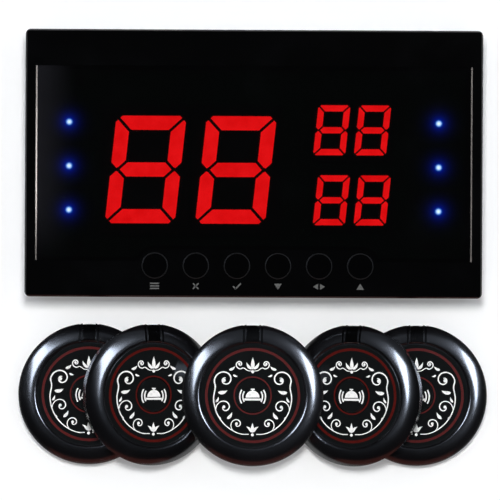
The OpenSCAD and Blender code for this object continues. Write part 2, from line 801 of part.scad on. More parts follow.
module power_jack() {
    body_x = board_w / 2 - jack_l;
    nose_x = cover_w / 2 - lip_fit;
    color([0.08, 0.08, 0.08]) translate([0, -jack_drop, jack_z]) {
        difference() {
            union() {
                translate([body_x, -jack_w / 2, -jack_h / 2]) cube([jack_l, jack_w, jack_h]);
                translate([body_x + jack_l / 2, 0, 0]) rotate([0, 90, 0])
                    cylinder(d = jack_nose_d, h = nose_x - body_x - jack_l / 2);
            }
            translate([nose_x - jack_bore_l, 0, 0]) rotate([0, 90, 0])
                cylinder(d = jack_bore_d, h = jack_bore_l + over);
        }
        translate([nose_x - jack_bore_l - over, 0, 0]) rotate([0, 90, 0])
            cylinder(d = jack_pin_d, h = jack_bore_l);
    }
}

// Small plate with a shield can against the main board, and a rod aerial
module radio_module() {
    color("seagreen") translate([-radio_x, -radio_drop, board_z - radio_can_t]) {
        translate([-radio_w / 2, -radio_h / 2, -radio_t]) cube([radio_w, radio_h, radio_t]);
        translate([-radio_can_w / 2, -radio_can_h / 2, -radio_t / 2])
            cube([radio_can_w, radio_can_h, radio_can_t + radio_t / 2]);
        translate([radio_w / 2 - aerial_d, 0, -radio_t / 2]) rotate([0, 90, 0])
            cylinder(d = aerial_d, h = aerial_l);
    }
}

module case_screws() {
    color("gray") at_corners(boss_x, boss_y) translate([0, 0, post_h - case_wall])
        pan_screw(screw_d, screw_l, screw_head_d, screw_head_h);
}

module board_screws() {
    color("silver") at_corners(board_post_x, board_post_y)
        translate([0, 0, board_top_z]) mirror([0, 0, 1])
            pan_screw(screw_d, screw_l, screw_head_d, screw_head_h);
}

module rubber_feet() {
    mid_z = (back_bevel + parting_z) / 2;
    color([0.06, 0.06, 0.06]) for (s = [-1, 1])
        translate([s * board_post_x, -cover_h / 2, mid_z]) rotate([90, 0, 0])
            linear_extrude(cover_inset) round_rect(foot_l, foot_w, foot_w / 4);
}

// Bells

// Half section inside a bell's side, carried on up to its full height
module bell_side(inset) {
    side_slope = foot_inset / rim_edge_z;
    polygon([
        [0, 0], [foot_r - inset, 0], [foot_r - inset + side_slope * bell_h, bell_h], [0, bell_h]
    ]);
}

// Half section under the outer slope of the rim
module rim_outside(inset) {
    translate([rim_mid_r, rim_mid_z]) intersection() {
        circle(rim_roll_r - inset);
        translate([0, -bell_h]) square(2 * bell_h);
    }
}

// Half section of a bell's outside form, smaller all round by the inset
module bell_section(inset) {
    intersection() {
        bell_side(inset);
        union() {
            square([rim_mid_r, bell_h - inset]);
            rim_outside(inset);
        }
    }
}

// The same with the rim's rounded inner edge and the deck that carries the label
module bell_solid() {
    intersection() {
        bell_side(0);
        union() {
            square([rim_mid_r, deck_z]);
            rim_outside(0);
            translate([rim_inner_r, 0]) square([rim_mid_r - rim_inner_r, rim_inner_mid_z]);
            translate([rim_mid_r, rim_inner_mid_z]) intersection() {
                circle(rim_inner_roll_r);
                translate([rim_inner_r - rim_mid_r, 0]) square([rim_mid_r - rim_inner_r, bell_h]);
            }
        }
    }
}

// Half section of the room inside the housing
module bell_room() {
    intersection() {
        bell_section(shell_t);
        square([bell_r, deck_under_z]);
    }
    square([rim_mid_r, deck_under_z]);
    translate([0, -over]) square([foot_r - shell_t, 2 * over]);
}

module bell_housing() {
    color([0.04, 0.04, 0.045]) difference() {
        union() {
            rotate_extrude() difference() {
                bell_solid();
                bell_room();
                square([button_hole_d / 2, bell_h]);
            }
            at_bell_bosses() translate([0, 0, base_t])
                cylinder(d = bell_boss_d, h = deck_under_z - base_t + deck_t / 2);
        }
        at_bell_bosses() translate([0, 0, base_t - over])
            cylinder(d = bell_screw_d + 2 * screw_fit, h = bell_screw_l + over);
        difference() {
            for (x = [-channel_w / 2, channel_w / 2 - channel_groove_w])
                translate([x, rim_inner_r - over, lens_low_z]) cube([channel_groove_w, bell_r, bell_h]);
            rotate_extrude() bell_section(channel_depth);
        }
        translate([-lens_w / 2, lens_start_r, lens_low_z]) cube([lens_w, bell_r, bell_h]);
    }
}

module bell_base() {
    base_r = foot_r - shell_t - bell_fit;
    well_r = cell_d / 2 + cell_fit;
    recess_h = bell_screw_head_h + screw_fit;
    color([0.05, 0.05, 0.05]) difference() {
        union() {
            cylinder(r = base_r, h = base_t);
            cylinder(r = well_r + well_t, h = base_t + well_h);
            at_bell_posts() cylinder(d = bell_boss_d, h = bell_board_z);
        }
        translate([0, 0, base_t]) cylinder(r = well_r, h = cell_t);
        at_bell_bosses() translate([0, 0, -over]) {
            cylinder(d = bell_screw_d + 2 * screw_fit, h = base_t + 2 * over);
            cylinder(d = bell_screw_head_d + 2 * screw_fit, h = recess_h + over);
        }
        translate([0, 0, -over]) {
            cylinder(d = pad_d, h = pad_depth + over);
            translate([0, pad_d / 2, 0]) cylinder(r = pad_notch_r, h = pad_depth + over);
        }
    }
}

module bell_label() {
    color([0.06, 0.07, 0.08]) translate([0, 0, deck_z]) difference() {
        cylinder(r = rim_inner_r - label_gap, h = label_t);
        translate([0, 0, -over]) cylinder(d = button_hole_d, h = label_t + 2 * over);
    }
}

module bell_button() {
    r = button_d / 2;
    flange_top_z = button_flange_z + button_flange_t;
    stem_z = bell_board_top_z + press_air + button_travel;
    top_z = label_z + button_proud;
    edge = button_proud;
    color([0.05, 0.05, 0.06]) rotate_extrude() polygon([
        [0, stem_z], [button_stem_d / 2, stem_z], [button_stem_d / 2, button_flange_z],
        [r + button_flange_w, button_flange_z], [r + button_flange_w, flange_top_z],
        [r, flange_top_z], [r, top_z - edge], [r - edge, top_z], [0, top_z]
    ]);
}

module bell_lens() {
    color([0.02, 0.02, 0.02]) intersection() {
        rotate_extrude() difference() {
            bell_section(lens_depth);
            bell_section(lens_depth + lens_t);
        }
        translate([lens_fit - lens_w / 2, lens_start_r + lens_fit, lens_low_z + lens_fit])
            cube([lens_w - 2 * lens_fit, bell_r, bell_h]);
    }
}

// Round board with clearance holes for the bosses, and the lamp under the lens
module bell_board() {
    lamp_y = bell_board_r - bell_lamp_w;
    color("darkgreen") {
        translate([0, 0, bell_board_z]) difference() {
            cylinder(r = bell_board_r, h = bell_board_t);
            at_bell_bosses() translate([0, 0, -over])
                cylinder(d = bell_boss_d + 2 * cell_fit, h = bell_board_t + 2 * over);
        }
        translate([-bell_lamp_w / 2, lamp_y - bell_lamp_w / 2, bell_board_z + bell_board_t / 2])
            cube([bell_lamp_w, bell_lamp_w, bell_board_t / 2 + bell_lamp_w / 2]);
    }
}

// Coin cell: a can with a smaller cap on its lower side
module bell_battery() {
    r = cell_d / 2;
    cap_r = r - cell_cap_inset;
    color("lightgray") translate([0, 0, base_t]) rotate_extrude() polygon([
        [0, 0], [cap_r, 0], [cap_r, cell_cap_h], [r, cell_cap_h], [r, cell_t], [0, cell_t]
    ]);
}

module bell_switches() {
    color([0.1, 0.1, 0.1]) for (b = [1 : BELLS])
        at_bell(b) translate([0, 0, bell_board_top_z]) difference() {
            translate([-bell_switch_w / 2, -bell_switch_w / 2, 0])
                cube([bell_switch_w, bell_switch_w, bell_switch_h]);
            translate([0, 0, -over])
                cylinder(d = button_stem_d + 2 * button_fit, h = bell_switch_h + 2 * over);
        }
}

module bell_screws() {
    color("silver") for (b = [1 : BELLS])
        at_bell(b) at_bell_bosses() translate([0, 0, bell_screw_head_h + screw_fit])
            pan_screw(bell_screw_d, bell_screw_l, bell_screw_head_d, bell_screw_head_h);
}

at_receiver() front_frame();
at_receiver() window();
at_receiver() window_trims();
at_receiver() rear_cover();
at_receiver() main_board();
at_receiver() main_digit_blocks();
at_receiver() main_digit_segments();
at_receiver() sub_digit_blocks();
at_receiver() sub_digit_segments();
at_receiver() status_leds();
at_receiver() key_switches();
at_receiver() speaker();
at_receiver() power_jack();
at_receiver() radio_module();
at_receiver() case_screws();
at_receiver() board_screws();
at_receiver() rubber_feet();
for (k = [1 : KEYS])
    at_receiver() key(k);
for (b = [1 : BELLS]) {
    at_bell(b) bell_housing();
    at_bell(b) bell_base();
    at_bell(b) bell_label();
    at_bell(b) bell_button();
    at_bell(b) bell_lens();
    at_bell(b) bell_board();
    at_bell(b) bell_battery();
}
bell_switches();
bell_screws();
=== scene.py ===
# %% [markdown]
# # A wireless call bell set, dressed for a studio shot
# The object is a black receiver with red digits, lying on its back, and five round call bells
# fanned out in front of it. The solids come from a CAD model and stay where they are. This lesson
# gives each of them a finish, adds the thin things that CAD leaves out, such as printed ink, and
# sets up the light.
#
# The imported model is loaded first, because places and sizes are read from it later.

# %% Load the set
import json
import math

import bpy
from mathutils import Matrix, Vector


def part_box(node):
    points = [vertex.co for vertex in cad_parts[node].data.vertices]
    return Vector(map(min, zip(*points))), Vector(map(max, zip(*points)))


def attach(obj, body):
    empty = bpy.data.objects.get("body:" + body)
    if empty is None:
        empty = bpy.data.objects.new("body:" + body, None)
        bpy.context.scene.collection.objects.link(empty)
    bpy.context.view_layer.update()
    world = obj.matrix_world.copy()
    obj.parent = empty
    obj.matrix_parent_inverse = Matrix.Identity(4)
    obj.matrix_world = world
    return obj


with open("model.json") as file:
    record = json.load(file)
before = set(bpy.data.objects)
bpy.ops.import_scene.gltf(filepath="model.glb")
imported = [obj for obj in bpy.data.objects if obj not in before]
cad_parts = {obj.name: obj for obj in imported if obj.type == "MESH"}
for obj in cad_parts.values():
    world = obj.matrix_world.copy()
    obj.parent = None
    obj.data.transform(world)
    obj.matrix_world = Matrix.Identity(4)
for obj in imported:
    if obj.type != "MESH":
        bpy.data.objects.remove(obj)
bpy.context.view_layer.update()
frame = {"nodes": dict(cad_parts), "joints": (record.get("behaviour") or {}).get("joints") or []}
nodes = frame["nodes"]
print("solids:", len(nodes))

# %% [markdown]
# ## Helpers
# Blender counts in metres, and a set this small is easier to describe in millimetres. A few short
# functions are used all through the lesson: they give a box's size, a solid's middle and the names
# of pieces that all five bells have, and put a new object into the scene.

# %% Write a few helpers
MM = 0.001
BELLS = range(1, 6)


def middle(name):
    low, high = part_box(name)
    return (low + high) / 2


def of_bells(*pieces):
    return [f"bell_{b}_{piece}" for b in BELLS for piece in pieces]


def add(name, data):
    made = bpy.data.objects.new(name, data)
    bpy.context.collection.objects.link(made)
    return made


# %% [markdown]
# ## Sums with sockets
# A finish needs a lot of small sums, such as "roughness is 0.1 plus a little noise". Each sum is a
# Math node, and wiring those by hand hides what they say. This class wraps a node's output, so
# that a plain Python expression adds the nodes. The reflected forms make `1 - mask` work as well
# as `mask - 1`.


# %% Wrap a socket so that it can be used in sums
class Wire:
    """One output of a node, for use in Python sums."""

    def __init__(self, finish, socket):
        self.finish = finish
        self.socket = socket

    def math(self, operation, *values):
        return self.finish.node("ShaderNodeMath", {"operation": operation},
                                dict(enumerate(values)))

    def __add__(self, other):
        return self.math("ADD", self, other)

    def __sub__(self, other):
        return self.math("SUBTRACT", self, other)

    def __rsub__(self, other):
        return self.math("SUBTRACT", other, self)

    def __neg__(self):
        return 0 - self

    def __mul__(self, other):
        return self.math("MULTIPLY", self, other)

    def __truediv__(self, other):
        return self.math("DIVIDE", self, other)

    __radd__ = __add__
    __rmul__ = __mul__

    def least(self, other):
        return self.math("MINIMUM", self, other)

    def most(self, other):
        return self.math("MAXIMUM", self, other)

    def size(self):
        """The value without its sign."""
        return self.math("ABSOLUTE", self)

    def whole(self):
        """The nearest whole number."""
        return self.math("ROUND", self)

    def root(self):
        return self.math("SQRT", self)

    def exp(self):
        return self.math("EXPONENT", self)

    def rise(self, low, high):
        """0 below low, 1 above high, and a soft step between them."""
        return self.finish.node("ShaderNodeMapRange", {"interpolation_type": "SMOOTHSTEP"},
                                {0: self, 1: low, 2: high, 3: 0.0, 4: 1.0})


print("sums ready")

# %% [markdown]
# ## A finish
# Every finish here is one Principled shader. The `node` method is the only place that makes nodes:
# it sets a node's settings first, because some of them change its sockets, and then fills or links
# the sockets. Patterns are laid out in the object's own coordinates, in metres, so they are the
# right size on every piece and move with it. Nothing depends on where the camera stands.


# %% Write the finish builder
class Finish:
    """A material with one Principled shader, and the means to feed it."""

    def __init__(self, name, constants=None):
        self.material = bpy.data.materials.new(name)
        self.material.use_nodes = True
        self.tree = self.material.node_tree
        self.shader = self.tree.nodes["Principled BSDF"]
        for socket, value in (constants or {}).items():
            self.feed(socket, value)

    def node(self, kind, settings=None, sockets=None, out=0):
        made = self.tree.nodes.new(kind)
        for key, value in (settings or {}).items():
            setattr(made, key, value)
        for key, value in (sockets or {}).items():
            self.join(made.inputs[key], value)
        return Wire(self, made.outputs[out])

    def join(self, socket, value):
        if isinstance(value, Wire):
            self.tree.links.new(value.socket, socket)
        elif isinstance(value, tuple) and len(value) == 3 and len(socket.default_value) == 4:
            socket.default_value = (*value, 1.0)
        else:
            socket.default_value = value

    def feed(self, socket, value):
        self.join(self.shader.inputs[socket], value)

    def place(self):
        return self.node("ShaderNodeTexCoord", out="Object")

    def axes(self):
        split = self.node("ShaderNodeSeparateXYZ", None, {0: self.place()}).socket.node
        return [Wire(self, socket) for socket in split.outputs]

    def grain(self, pitch_mm, detail=2, stretch=(1, 1, 1)):
        """Noise with lumps about pitch_mm apart, drawn out along an axis where stretch is small."""
        at = self.node("ShaderNodeVectorMath", {"operation": "MULTIPLY"},
                       {0: self.place(), 1: stretch})
        return self.node("ShaderNodeTexNoise", None,
                         {"Vector": at, "Scale": 1 / (pitch_mm * MM), "Detail": detail})

    def blend(self, low, high, factor):
        """A colour that goes from low to high as the factor goes from 0 to 1."""
        return self.node("ShaderNodeMix", {"data_type": "RGBA"},
                         {0: factor, 6: low, 7: high}, out=2)

    def relief(self, height, depth_mm):
        """Fine relief of that depth, as a bump on the surface."""
        self.feed("Normal", self.node("ShaderNodeBump", None,
                                      {"Height": height, "Distance": depth_mm * MM}))

    def put_on(self, *names):
        for name in names:
            for slot in nodes[name].material_slots:
                slot.material = self.material


print("finish builder ready")

# %% [markdown]
# ## Camera
# The set is shown square on, as in a catalogue: the camera looks straight down, with a very long
# lens so that the low bells and the tall receiver keep the same scale. The frame takes in 265 mm
# just below the receiver's face. A third of a degree of roll follows the slight turn of the
# picture.

# %% Place the camera
FRAME_W, FRAME_Z = 265 * MM, 30 * MM
LENS, SENSOR_W = 400.0, 36.0
AIM_X, AIM_Y = -1.8 * MM, -0.85 * MM
ROLL = math.radians(0.3)
FAR_CLIP = 60.0

height = FRAME_W * LENS / SENSOR_W
camera = bpy.data.cameras.new("camera")
camera.lens = LENS
camera.sensor_width = SENSOR_W
camera.clip_end = FAR_CLIP
camera_object = add("camera", camera)
camera_object.location = (AIM_X, AIM_Y, FRAME_Z + height)
camera_object.rotation_euler = (0, 0, ROLL)
bpy.context.scene.camera = camera_object
bpy.context.scene.view_settings.view_transform = "Standard"
print("camera height in m:", round(height, 3))

# %% [markdown]
# ## Floor
# The floor is plain white, and lies a hair below the set so that no two faces share a plane. A lit
# white floor never quite reaches paper white and falls off towards its far edge, so rays from the
# camera, and those that glossy and clear pieces send out, see a small share of it as plain white
# and the rest as the lit floor. The lit part keeps the soft shadow of the set.

# %% Lay the floor
WHITE_SHARE = 0.10
REACH, DROP = 9.0, 0.05 * MM
FLOOR_WHITE = (0.95, 0.95, 0.95)

corners = [(-REACH, -REACH, 0), (REACH, -REACH, 0), (REACH, REACH, 0), (-REACH, REACH, 0)]
floor_mesh = bpy.data.meshes.new("floor")
floor_mesh.from_pydata(corners, [], [(0, 1, 2, 3)])
floor = add("floor", floor_mesh)
floor.location.z = -DROP

paper = Finish("floor_white", {"Base Color": FLOOR_WHITE, "Roughness": 0.8})
rays = paper.node("ShaderNodeLightPath").socket.node
from_camera, from_gloss, from_clear = [
    Wire(paper, rays.outputs[f"Is {kind} Ray"]) for kind in ("Camera", "Glossy", "Transmission")]
seen = from_camera.most(from_gloss).most(from_clear)
white = paper.node("ShaderNodeEmission", None, {"Color": (1.0, 1.0, 1.0), "Strength": 1.0})
lit = Wire(paper, paper.shader.outputs[0])
mixed = paper.node("ShaderNodeMixShader", None, {0: seen * WHITE_SHARE, 1: lit, 2: white})
paper.join(paper.tree.nodes["Material Output"].inputs["Surface"], mixed)
floor_mesh.materials.append(paper.material)
print("floor laid, white share", WHITE_SHARE)

# %% [markdown]
# ## Light
# Matt things are lit by how much light falls on them, and black gloss by what it mirrors, so each
# has lamps of its own. A wide soft panel above and a small one nearly overhead light ink and floor
# evenly, with a short shadow below the receiver, and gloss doesn't see them. The flat faces mirror
# what is straight above, which stays dark, so they stay black. The rounded bell rims mirror what
# is around them: two long strips at the upper left and upper right draw the two bright streaks, a
# dim cool panel behind gives the upper rims their grey-blue sheen, and a faint warm card in front
# tints the lower rims red-brown.
#
# A lamp hangs between two places, each given by its bearing, its height as an angle and its
# distance in metres. Its power is worked out from the brightness wanted at its face, which makes
# the lamps easy to compare.


# %% Hang the softboxes
def towards(azimuth, elevation, distance=1.6):
    a, e = math.radians(azimuth), math.radians(elevation)
    return distance * Vector((math.cos(a) * math.cos(e), math.sin(a) * math.cos(e), math.sin(e)))


def softbox(name, a, b, width, brightness, colour, gloss=True):
    """A lamp from one place to another that faces the set, for gloss or for matt things."""
    along = (b - a).normalized()
    facing = ((a + b) / 2).normalized()
    across = facing.cross(along).normalized()
    light = bpy.data.lights.new(name, "AREA")
    light.shape = "RECTANGLE"
    light.size, light.size_y = (b - a).length, width
    light.energy = brightness * math.pi * light.size * light.size_y
    light.color = colour
    lamp = add(name, light)
    turn = Matrix((along, across, along.cross(across))).transposed().to_4x4()
    lamp.matrix_world = Matrix.Translation((a + b) / 2) @ turn
    lamp.visible_camera = False
    lamp.visible_glossy = gloss
    lamp.visible_diffuse = not gloss
    print(name, "is", round(light.size, 2), "by", width, "m,", round(light.energy, 2), "W")
    return lamp


WHITE, COOL, WARM = (1.0, 1.0, 1.0), (0.72, 0.82, 1.0), (1.0, 0.26, 0.20)
LEFT_ENDS = towards(147, 26), towards(171, 70)
RIGHT_ENDS = towards(30, 34), towards(-8, 63)
LEFT_STRIP = {"width": 0.42, "brightness": 28.0, "colour": COOL}
RIGHT_STRIP = {"width": 0.46, "brightness": 38.0, "colour": COOL}
ROOM_COLOUR, ROOM_LEVEL = (0.9, 0.95, 1.0, 1.0), 0.02

softbox("fill_top", towards(180, 35, 2.6), towards(0, 35, 2.6),
        width=4.2, brightness=0.52, colour=WHITE, gloss=False)
softbox("key_top", towards(112, 82, 2.0), towards(68, 82, 2.0),
        width=0.3, brightness=141.0, colour=WHITE, gloss=False)
strip_left = softbox("strip_left", *LEFT_ENDS, **LEFT_STRIP)
strip_right = softbox("strip_right", *RIGHT_ENDS, **RIGHT_STRIP)
softbox("panel_back", towards(130, 38), towards(50, 38), width=1.3, brightness=0.22, colour=COOL)
softbox("card_front", towards(235, 10), towards(305, 10), width=0.6, brightness=0.4, colour=WARM)

world = bpy.data.worlds.new("room")
bpy.context.scene.world = world
world.use_nodes = True
room = world.node_tree.nodes["Background"]
room.inputs["Color"].default_value = ROOM_COLOUR
room.inputs["Strength"].default_value = ROOM_LEVEL

# %% [markdown]
# ## Polished black plastic
# The receiver's frame, the bell shells and the lamp lenses are glossy moulded plastic. A flat
# black reads as a hole in the picture, so the gloss is uneven: wide faint smears where hands have
# been, and a shallow ripple, called orange peel, that every moulding has. The colour itself hardly
# varies. The lens at 12 o'clock of each bell is smoked, and mirrors less.


# %% Finish the frame, the bell shells and the lenses
def polished(name, colour, gloss, constants=None):
    """Polished plastic with hand smears and orange peel."""
    made = Finish(name, {"IOR": 1.5, **(constants or {})})
    smear = made.grain(34, detail=4).rise(0.42, 0.68)
    fine = made.grain(1.1)
    paler = tuple(2.2 * c for c in colour)
    made.feed("Base Color", made.blend(colour, paler, smear * 0.5))
    made.feed("Roughness", smear * 0.03 + fine * 0.02 + gloss)
    made.relief(made.grain(4.5, detail=1), depth_mm=0.012)
    return made


case = polished("case_black", (0.0006, 0.0006, 0.0007), gloss=0.05)
case.put_on("front_frame")
shell = polished("bell_black", (0.0018, 0.0017, 0.0021), gloss=0.20,
                 constants={"Coat Weight": 0.4, "Coat Roughness": 0.12})
shell.put_on(*of_bells("housing"))
lens = polished("lens_black", (0.0008, 0.0008, 0.0009), gloss=0.24,
                constants={"Specular IOR Level": 0.08})
lens.put_on(*of_bells("lens"))
print("polished: the frame,", len(of_bells("housing")), "shells and their lenses")

# %% [markdown]
# ## Folding a pattern over a row
# Six keys and six lamps need the same round pattern about their own middles. Instead of six
# materials, the coordinate is folded: subtracting the nearest middle leaves the distance from it.
# The lamps stand in two columns, equally far from the middle of the receiver, so the size of X
# folds one column onto the other. The widest part of a lamp is the spacer that it stands on.


# %% Measure from the nearest key or lamp
def fold(wire, first, pitch, count):
    """How far along a row a place is from the nearest middle."""
    along = wire - first
    step = (along / pitch).whole().most(0.0).least(count - 1.0)
    return along - step * pitch


def length(a, b):
    return (a * a + b * b).root()


KEYS = [f"key_{k}" for k in range(1, 7)]
first_key = middle(KEYS[0])
key_pitch = middle(KEYS[1]).x - first_key.x

LAMP_ROWS = 3
SPACER_R = 3.5 * MM
low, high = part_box("status_leds")
lamp_x = (high.x - low.x) / 2 - SPACER_R
lamp_low_y = low.y + SPACER_R
lamp_pitch = (high.y - low.y - 2 * SPACER_R) / (LAMP_ROWS - 1)


def from_key(x, y):
    return length(fold(x, first_key.x, key_pitch, len(KEYS)), y - first_key.y)


def from_lamp(x, y):
    return length(x.size() - lamp_x, fold(y, lamp_low_y, lamp_pitch, LAMP_ROWS))


print("key pitch in mm:", round(key_pitch / MM, 2))
print("lamp pitch in mm:", round(lamp_pitch / MM, 2), "columns at", round(lamp_x / MM, 1))

# %% [markdown]
# ## Keys
# Each key is a polished black disc with a fine grey line round its edge: a painted highlight where
# the edge catches light, on a rougher rim. A mask on the distance from the key's middle makes that
# line.

# %% Finish the keys
KEY_BLACK, EDGE_HIGHLIGHT_GREY = (0.0008, 0.0008, 0.0009), (0.012, 0.012, 0.0125)
LINE_STARTS, LINE_ENDS = (6.3 * MM, 6.6 * MM), (7.0 * MM, 7.1 * MM)

cap = Finish("key_black", {"IOR": 1.5, "Specular IOR Level": 0.12})
x, y, _ = cap.axes()
radius = from_key(x, y)
edge = radius.rise(*LINE_STARTS) * (1 - radius.rise(*LINE_ENDS))
# The grey on the key's edge is a painted highlight, not wear.
painted_edge_highlight = edge * (cap.grain(2, detail=3) * 0.6 + 0.55)
cap.feed("Base Color", cap.blend(KEY_BLACK, EDGE_HIGHLIGHT_GREY, painted_edge_highlight))
cap.feed("Roughness", edge * 0.30 + cap.grain(6, detail=3) * 0.06 + 0.08)
cap.relief(cap.grain(3.5, detail=1), depth_mm=0.008)
cap.put_on(*KEYS)
print("keys finished:", len(KEYS))

# %% [markdown]
# ## Smoked window
# The display sits behind a sheet of smoked acrylic. It is black until something lights up behind
# it, which a part-see-through black gives: each face lets about a fifth of the light through. Two
# more things show. The sheet is painted paler near its left end, less so low down: a painted sheen,
# as if light fell on that side. And it scatters the blue of the lamps, so each has a halo in the
# sheet itself that dies away from the lamp.

# %% Finish the window
DARK = (0.0, 0.0, 0.0)
HALO_BLUE, HALO_LEVEL, HALO_REACH = (0.002, 0.035, 1.0), 0.58, 1.85 * MM
SMOKE_BLACK, SHEEN_GREY = (0.0007, 0.0007, 0.0008), (0.010, 0.010, 0.0125)
SHEEN_FADES_RIGHT = -4 * MM, 22 * MM
SHEEN_STARTS_UP = -8 * MM, 38 * MM
COVER, SHEEN_COVER = 0.78, 0.08

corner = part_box("window")[0]
smoked = Finish("window_smoked", {"IOR": 1.49, "Emission Strength": 1.0})
x, y, _ = smoked.axes()
halo = (from_lamp(x, y) / -HALO_REACH).exp() * HALO_LEVEL
smoked.feed("Emission Color", smoked.blend(DARK, HALO_BLUE, halo))
# Painted sheen: the sheet is paler and a little more opaque near its left end, less so low down.
near_left = 1 - (x - corner.x).rise(*SHEEN_FADES_RIGHT)
above_foot = (y - corner.y).rise(*SHEEN_STARTS_UP)
painted_sheen = near_left * above_foot * (smoked.grain(18, detail=3) * 0.5 + 0.7)
smoked.feed("Base Color", smoked.blend(SMOKE_BLACK, SHEEN_GREY, painted_sheen))
smoked.feed("Roughness", smoked.grain(26, detail=4).rise(0.45, 0.7) * 0.05 + 0.05)
smoked.feed("Alpha", painted_sheen * SHEEN_COVER + COVER)
smoked.put_on("window")
print("window finished: each face hides", COVER, "of what is behind it")

# %% [markdown]
# ## Lamps and digits
# A lit lamp is whitest at its tip and deep blue round it. The digits are red light behind a milky
# film, nearly even, with slightly hotter patches here and there and a fine grain from the film.
# Their black housings are matt, so that they vanish behind the window.

# %% Finish the lamps, segments and housings
UNLIT_BLUE, DEEP_BLUE, PALE_BLUE = (0.0, 0.0, 0.002), (0.02, 0.16, 0.40), (0.75, 1.0, 1.0)
TIP_ENDS, GLOW_ENDS = (0.2 * MM, 1.85 * MM), (0.9 * MM, 2.4 * MM)
RED, HOT_RED = (0.80, 0.002, 0.003), (0.98, 0.006, 0.008)

bulb = Finish("lamp_blue", {"Emission Strength": 21.0, "Base Color": (0.02, 0.05, 0.2),
                            "Roughness": 0.15})
x, y, _ = bulb.axes()
radius = from_lamp(x, y)
glow = bulb.blend(UNLIT_BLUE, DEEP_BLUE, 1 - radius.rise(*GLOW_ENDS))
bulb.feed("Emission Color", bulb.blend(glow, PALE_BLUE, 1 - radius.rise(*TIP_ENDS)))
bulb.put_on("status_leds")

segment = Finish("segment_red", {"Emission Strength": 16.0, "Base Color": (0.45, 0.01, 0.01),
                                 "Roughness": 0.5})
heat = segment.grain(6, detail=1) * 0.5 + segment.grain(0.5) * 0.5
segment.feed("Emission Color", segment.blend(RED, HOT_RED, heat.rise(0.3, 0.7)))
segment.put_on("main_digit_segments", "sub_digit_segments")

housing = Finish("digit_black", {"Base Color": (0.004, 0.004, 0.004)})
housing.feed("Roughness", housing.grain(1, detail=3) * 0.2 + 0.6)
housing.relief(housing.grain(0.35), depth_mm=0.02)
housing.put_on("main_digit_blocks", "sub_digit_blocks")
print("lamps, segments and housings finished")

# %% [markdown]
# ## Bright trims
# A narrow satin strip closes the window at each end. It is brushed along its length, which noise
# that is drawn out along Y gives, and it is the one bright metal on the front, with a warm tint.
# The left one carries a painted highlight just below its middle, paler metal that stands in for
# light on it, and it fades slowly upwards and sooner downwards. The right one is dull.

# %% Finish the trims
DULL = (0.033, 0.027, 0.0215), (0.049, 0.040, 0.0315)
HIGHLIGHT_TONES = (0.185, 0.152, 0.12), (0.255, 0.208, 0.165)
HIGHLIGHT_DROP = 12 * MM
FADE_UP, FADE_DOWN = 84 * MM, 38 * MM
LEFT_SIDE = -50 * MM, 50 * MM

trim = Finish("trim_satin", {"Metallic": 1.0})
brushed = trim.grain(0.12, detail=3, stretch=(1, 0.01, 1))
x, y, _ = trim.axes()
# Painted highlight: the left trim is paler just below its middle, fading up and down.
above_highlight = y - (middle("window_trims").y - HIGHLIGHT_DROP)
faded = (1 - above_highlight.rise(0.0, FADE_UP)) * (1 - (-above_highlight).rise(0.0, FADE_DOWN))
painted_highlight = faded * (-x).rise(*LEFT_SIDE)
metal = trim.blend(trim.blend(*DULL, brushed), trim.blend(*HIGHLIGHT_TONES, brushed), painted_highlight)
trim.feed("Base Color", metal)
trim.feed("Roughness", brushed * 0.15 + 0.34)
trim.relief(brushed, depth_mm=0.004)
trim.put_on("window_trims")
print("trims finished")

# %% [markdown]
# ## Backs, boards, metal and rubber
# The back shell and the bell bases are matt plastic with a fine spark-eroded texture, which hides
# scratches. What shows through the slots gets its own finish too: green boards with copper runs
# under the lacquer, plated screws, bright coin cells, a paper speaker cone, and rubber feet. The
# board's screws stand behind the window and are blackened, so that they don't glint through it.


# %% Finish the backs and what is inside
def textured(name, colour, rough, pitch_mm, depth_mm, constants=None):
    """A matt or satin surface with an even fine grain and a few paler scuffs."""
    made = Finish(name, constants)
    fine = made.grain(pitch_mm, detail=3)
    scuff = made.grain(22, detail=5).rise(0.58, 0.74)
    paler = tuple(1.7 * c + 0.004 for c in colour)
    made.feed("Base Color", made.blend(colour, paler, scuff * 0.5 + fine * 0.3))
    made.feed("Roughness", fine * 0.16 - scuff * 0.08 + rough)
    made.relief(fine, depth_mm)
    return made


METAL = {"Metallic": 1.0}
textured("cover_black", (0.016, 0.016, 0.017), rough=0.48, pitch_mm=0.45, depth_mm=0.05).put_on(
    "rear_cover", *of_bells("base"))
textured("switch_black", (0.014, 0.014, 0.014), rough=0.5, pitch_mm=0.8, depth_mm=0.02).put_on(
    "key_switches", "bell_switches", "power_jack")
textured("foot_rubber", (0.012, 0.012, 0.012), rough=0.78, pitch_mm=0.6, depth_mm=0.06).put_on(
    "rubber_feet")
textured("speaker_grey", (0.035, 0.034, 0.033), rough=0.62, pitch_mm=0.7, depth_mm=0.05).put_on(
    "speaker")
textured("screw_steel", (0.55, 0.55, 0.56), rough=0.28, pitch_mm=0.5, depth_mm=0.01,
         constants=METAL).put_on("case_screws", "bell_screws")
textured("screw_black", (0.010, 0.010, 0.011), rough=0.42, pitch_mm=0.5, depth_mm=0.01).put_on(
    "board_screws")
textured("cell_steel", (0.68, 0.68, 0.67), rough=0.20, pitch_mm=0.9, depth_mm=0.006,
         constants=METAL).put_on(*of_bells("battery"))

